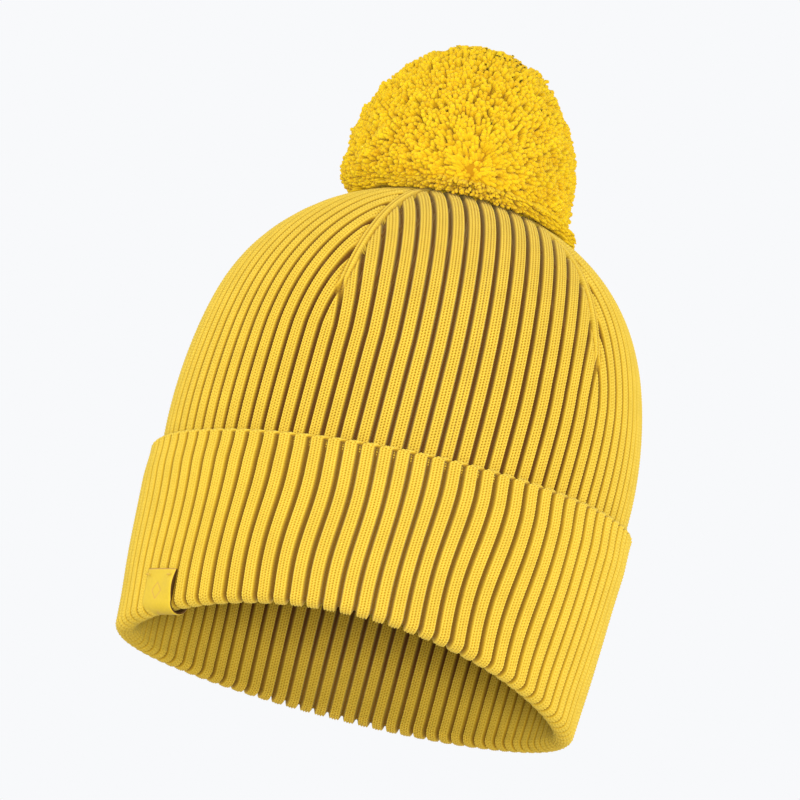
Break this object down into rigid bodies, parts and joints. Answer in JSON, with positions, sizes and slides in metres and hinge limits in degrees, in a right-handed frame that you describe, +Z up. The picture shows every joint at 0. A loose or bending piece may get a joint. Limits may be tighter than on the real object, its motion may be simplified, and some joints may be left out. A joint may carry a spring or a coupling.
{
  "type": "knit beanie",
  "caption": "Rib-knit hat with a turn-up cuff that folds down, a yarn pompom that tilts on its thread, a folded tag and an inner care label.",
  "frame": {"origin": "centre of the rim, on the plane that the hat stands on", "axes": "+Z up the axis of the hat to the pompom, -Y the front with the tag, +X to the left of the wearer"},
  "size_m": [0.205, 0.205, 0.282],
  "materials": {
    "rib_knit": "matte rib-knit yarn",
    "pompom_yarn": "soft cut yarn",
    "tag": "smooth coated fabric with a raw brown edge",
    "stitching": "sewing thread",
    "button": "matte",
    "care_label": "satin ribbon",
    "care_stitching": "sewing thread"
  },
  "bodies": {
    "hat": {"body_tube": "rib_knit", "cuff_hem": "rib_knit", "crown_gore_1": "rib_knit", "crown_gore_2": "rib_knit", "crown_gore_3": "rib_knit", "crown_gore_4": "rib_knit", "crown_gore_5": "rib_knit", "side_seam": "rib_knit", "closing_thread": "pompom_yarn", "anchor_button": "button", "pompom_skirt": "pompom_yarn", "tag_back_leaf": "tag", "care_label_header": "care_label", "care_label_stitches": "care_stitching"},
    "cuff_strip_01": {"cuff_strip_01": "rib_knit", "tag_front_leaf": "tag", "tag_stitches": "stitching"},
    "cuff_strip_02": {"cuff_strip_02": "rib_knit"},
    "cuff_strip_03": {"cuff_strip_03": "rib_knit"},
    "cuff_strip_04": {"cuff_strip_04": "rib_knit"},
    "cuff_strip_05": {"cuff_strip_05": "rib_knit"},
    "cuff_strip_06": {"cuff_strip_06": "rib_knit"},
    "cuff_strip_07": {"cuff_strip_07": "rib_knit"},
    "cuff_strip_08": {"cuff_strip_08": "rib_knit"},
    "cuff_strip_09": {"cuff_strip_09": "rib_knit"},
    "cuff_strip_10": {"cuff_strip_10": "rib_knit"},
    "cuff_strip_11": {"cuff_strip_11": "rib_knit"},
    "cuff_strip_12": {"cuff_strip_12": "rib_knit"},
    "cuff_strip_13": {"cuff_strip_13": "rib_knit"},
    "cuff_strip_14": {"cuff_strip_14": "rib_knit"},
    "cuff_strip_15": {"cuff_strip_15": "rib_knit"},
    "cuff_strip_16": {"cuff_strip_16": "rib_knit"},
    "cuff_strip_17": {"cuff_strip_17": "rib_knit"},
    "cuff_strip_18": {"cuff_strip_18": "rib_knit"},
    "pompom_thread": {"pompom_thread": "pompom_yarn"},
    "pompom": {"pompom_ball": "pompom_yarn", "pompom_tie": "pompom_yarn"},
    "care_label": {"care_label": "care_label"}
  },
  "joints": [
    {"name": "cuff_fold", "type": "hinge", "parent": "hat", "child": "cuff_strip_01", "pos_m": [0, -0.09302, 0.00913], "axis": [1, 0, 0], "range_deg": [0, 170], "deforming": ["cuff_hem"]},
    {"name": "cuff_fold_02", "type": "hinge", "parent": "hat", "child": "cuff_strip_02", "pos_m": [0.03193, -0.08774, 0.0146], "axis": [0.9397, 0.342, 0], "range_deg": [0, 170]},
    {"name": "cuff_fold_03", "type": "hinge", "parent": "hat", "child": "cuff_strip_03", "pos_m": [0.06019, -0.07173, 0.01891], "axis": [0.766, 0.6428, 0], "range_deg": [0, 170]},
    {"name": "cuff_fold_04", "type": "hinge", "parent": "hat", "child": "cuff_strip_04", "pos_m": [0.08116, -0.04686, 0.02005], "axis": [0.5, 0.866, 0], "range_deg": [0, 170]},
    {"name": "cuff_fold_05", "type": "hinge", "parent": "hat", "child": "cuff_strip_05", "pos_m": [0.09213, -0.01624, 0.01748], "axis": [0.1736, 0.9848, 0], "range_deg": [0, 170]},
    {"name": "cuff_fold_06", "type": "hinge", "parent": "hat", "child": "cuff_strip_06", "pos_m": [0.09181, 0.01619, 0.01241], "axis": [-0.1736, 0.9848, 0], "range_deg": [0, 170]},
    {"name": "cuff_fold_07", "type": "hinge", "parent": "hat", "child": "cuff_strip_07", "pos_m": [0.08045, 0.04645, 0.0072], "axis": [-0.5, 0.866, 0], "range_deg": [0, 170]},
    {"name": "cuff_fold_08", "type": "hinge", "parent": "hat", "child": "cuff_strip_08", "pos_m": [0.05959, 0.07102, 0.0043], "axis": [-0.766, 0.6428, 0], "range_deg": [0, 170]},
    {"name": "cuff_fold_09", "type": "hinge", "parent": "hat", "child": "cuff_strip_09", "pos_m": [0.0317, 0.08711, 0.00413], "axis": [-0.9397, 0.342, 0], "range_deg": [0, 170]},
    {"name": "cuff_fold_10", "type": "hinge", "parent": "hat", "child": "cuff_strip_10", "pos_m": [0, 0.0927, 0.00413], "axis": [-1, 0, 0], "range_deg": [0, 170]},
    {"name": "cuff_fold_11", "type": "hinge", "parent": "hat", "child": "cuff_strip_11", "pos_m": [-0.0317, 0.08711, 0.00413], "axis": [-0.9397, -0.342, 0], "range_deg": [0, 170]},
    {"name": "cuff_fold_12", "type": "hinge", "parent": "hat", "child": "cuff_strip_12", "pos_m": [-0.05959, 0.07101, 0.00413], "axis": [-0.766, -0.6428, 0], "range_deg": [0, 170]},
    {"name": "cuff_fold_13", "type": "hinge", "parent": "hat", "child": "cuff_strip_13", "pos_m": [-0.08028, 0.04635, 0.00413], "axis": [-0.5, -0.866, 0], "range_deg": [0, 170]},
    {"name": "cuff_fold_14", "type": "hinge", "parent": "hat", "child": "cuff_strip_14", "pos_m": [-0.09129, 0.0161, 0.00413], "axis": [-0.1736, -0.9848, 0], "range_deg": [0, 170]},
    {"name": "cuff_fold_15", "type": "hinge", "parent": "hat", "child": "cuff_strip_15", "pos_m": [-0.09129, -0.0161, 0.00413], "axis": [0.1736, -0.9848, 0], "range_deg": [0, 170]},
    {"name": "cuff_fold_16", "type": "hinge", "parent": "hat", "child": "cuff_strip_16", "pos_m": [-0.08028, -0.04635, 0.00413], "axis": [0.5, -0.866, 0], "range_deg": [0, 170]},
    {"name": "cuff_fold_17", "type": "hinge", "parent": "hat", "child": "cuff_strip_17", "pos_m": [-0.05959, -0.07101, 0.00413], "axis": [0.766, -0.6428, 0], "range_deg": [0, 170]},
    {"name": "cuff_fold_18", "type": "hinge", "parent": "hat", "child": "cuff_strip_18", "pos_m": [-0.03173, -0.08717, 0.00507], "axis": [0.9397, -0.342, 0], "range_deg": [0, 170]},
    {"name": "pompom_nod", "type": "hinge", "parent": "hat", "child": "pompom_thread", "pos_m": [0, 0, 0.211], "axis": [1, 0, 0], "range_deg": [-9, 9]},
    {"name": "pompom_sway", "type": "hinge", "parent": "pompom_thread", "child": "pompom", "pos_m": [0, 0, 0.211], "axis": [0, 1, 0], "range_deg": [-9, 9]},
    {"name": "care_label_swing", "type": "hinge", "parent": "hat", "child": "care_label", "pos_m": [0.0886, 0, 0.0615], "axis": [0, 1, 0], "range_deg": [0, 95]}
  ],
  "couplings": [
    {"joint": "cuff_fold_02", "follows": "cuff_fold", "ratio": 1},
    {"joint": "cuff_fold_03", "follows": "cuff_fold", "ratio": 1},
    {"joint": "cuff_fold_04", "follows": "cuff_fold", "ratio": 1},
    {"joint": "cuff_fold_05", "follows": "cuff_fold", "ratio": 1},
    {"joint": "cuff_fold_06", "follows": "cuff_fold", "ratio": 1},
    {"joint": "cuff_fold_07", "follows": "cuff_fold", "ratio": 1},
    {"joint": "cuff_fold_08", "follows": "cuff_fold", "ratio": 1},
    {"joint": "cuff_fold_09", "follows": "cuff_fold", "ratio": 1},
    {"joint": "cuff_fold_10", "follows": "cuff_fold", "ratio": 1},
    {"joint": "cuff_fold_11", "follows": "cuff_fold", "ratio": 1},
    {"joint": "cuff_fold_12", "follows": "cuff_fold", "ratio": 1},
    {"joint": "cuff_fold_13", "follows": "cuff_fold", "ratio": 1},
    {"joint": "cuff_fold_14", "follows": "cuff_fold", "ratio": 1},
    {"joint": "cuff_fold_15", "follows": "cuff_fold", "ratio": 1},
    {"joint": "cuff_fold_16", "follows": "cuff_fold", "ratio": 1},
    {"joint": "cuff_fold_17", "follows": "cuff_fold", "ratio": 1},
    {"joint": "cuff_fold_18", "follows": "cuff_fold", "ratio": 1}
  ]
}
